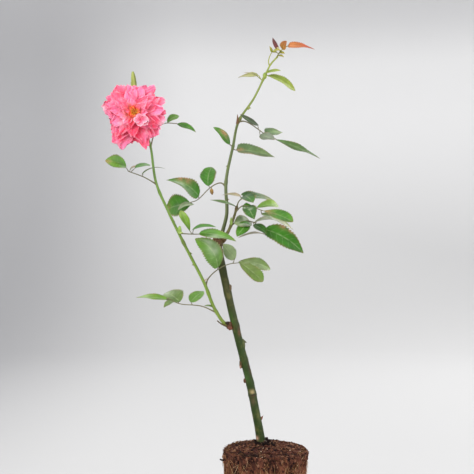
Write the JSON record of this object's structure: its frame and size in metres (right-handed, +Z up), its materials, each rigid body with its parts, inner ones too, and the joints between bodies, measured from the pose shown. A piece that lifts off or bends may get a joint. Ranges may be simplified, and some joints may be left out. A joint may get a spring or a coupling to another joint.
{
  "type": "rose bush on its root ball",
  "caption": "Young rose bush lifted from its pot: a leaning green stem with side shoots, compound leaves and an open pink bloom, standing on a cylindrical fibrous root ball.",
  "frame": {"origin": "middle of the flat underside of the root ball, on the surface that it stands on", "axes": "+Z up along the root ball's height; -Y is the front, which the open bloom faces; +X is to the right as seen from the front"},
  "size_m": [0.269, 0.1208, 0.6353],
  "materials": {
    "root_fibre": "matte",
    "old_bark": "satin",
    "young_bark": "satin",
    "sepal": "matte",
    "petal": "matte",
    "leaf": "satin",
    "young_leaf": "satin",
    "red_leaf": "satin"
  },
  "bodies": {
    "root": {"root_ball": "root_fibre", "main_stem": "old_bark", "flower_shoot": "young_bark", "tall_shoot": "young_bark", "short_shoot": "young_bark", "calyx": "sepal", "bloom": "petal", "low_left_leaf": "leaf", "mid_leaf": "leaf", "inner_leaf": "leaf", "arched_leaf": "leaf", "upper_left_leaf": "leaf", "bloom_leaf": "leaf", "crown_upper_leaf": "leaf", "crown_middle_leaf": "leaf", "crown_lower_leaf": "leaf", "pair_left_leaf": "leaf", "pair_right_leaf": "leaf", "mid_right_leaf": "leaf", "top_right_leaf": "young_leaf", "top_left_leaf": "young_leaf", "tip_side_leaf": "young_leaf", "tip_red_leaf": "red_leaf"}
  },
  "joints": []
}
